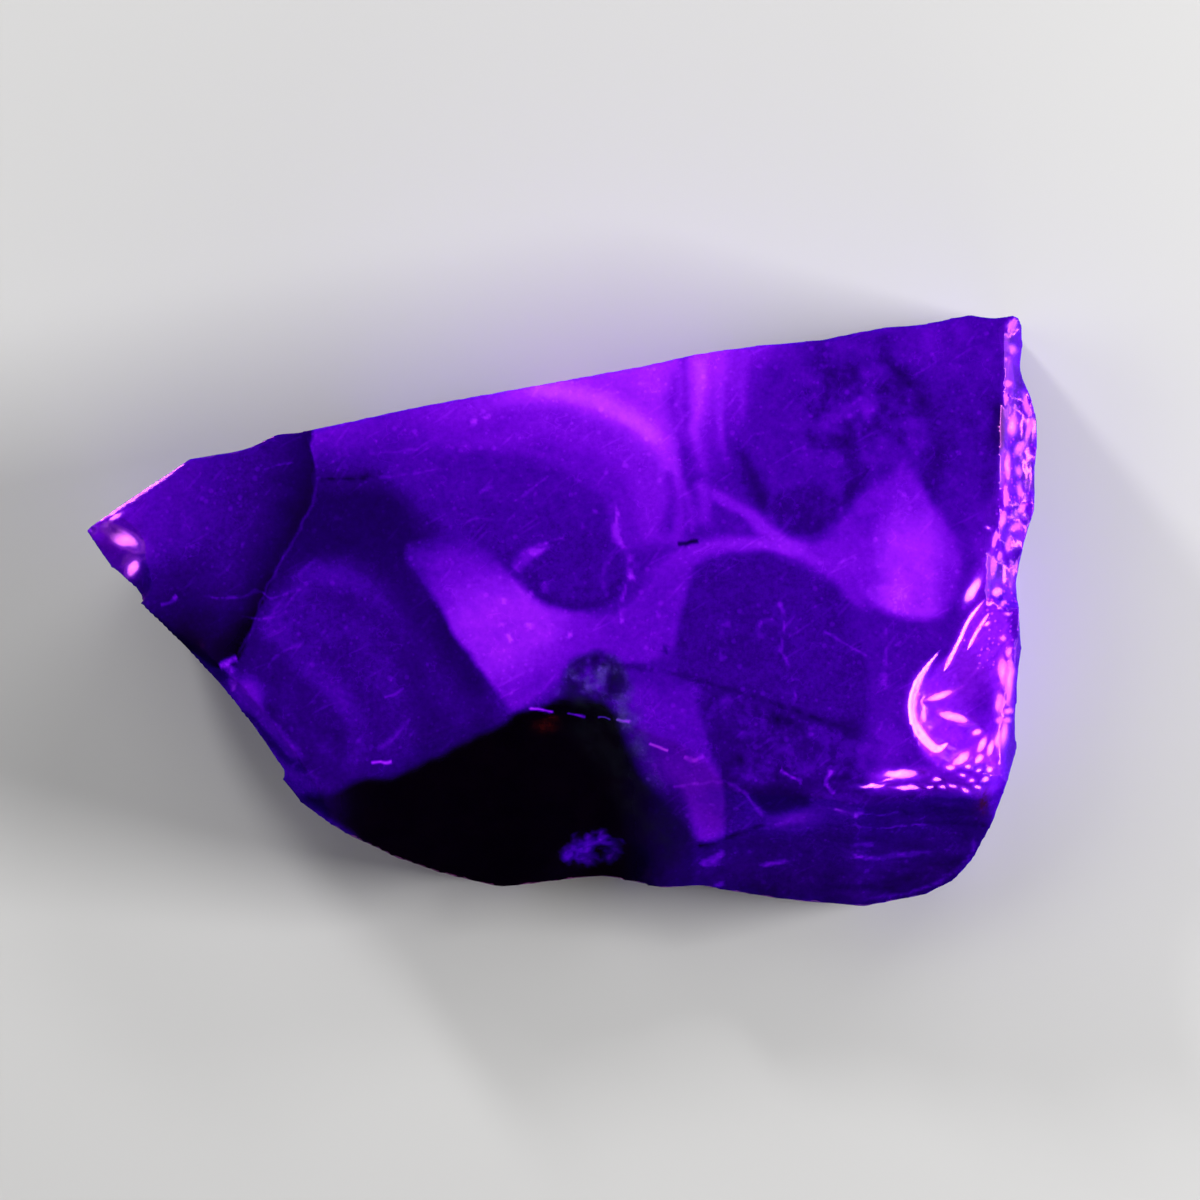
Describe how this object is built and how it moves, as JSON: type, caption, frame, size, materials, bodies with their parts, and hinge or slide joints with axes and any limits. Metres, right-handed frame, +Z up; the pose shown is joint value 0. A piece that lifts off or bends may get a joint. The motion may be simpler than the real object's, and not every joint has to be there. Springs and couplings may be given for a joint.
{
  "type": "agate slice",
  "caption": "Broken slice of banded violet agate with a flat polished face, glassy chipped edges and a flat sawn back to lie on.",
  "frame": {"origin": "centre of the bounding box, on the flat sawn back that it lies on", "axes": "+X along the slice, from its pointed end to its chipped end; +Y across it, towards its long straight edge; +Z up, out of the polished face"},
  "size_m": [0.0718, 0.0448, 0.0125],
  "materials": {
    "agate": "polished, translucent"
  },
  "bodies": {
    "root": {"agate_slice": "agate"}
  },
  "joints": []
}
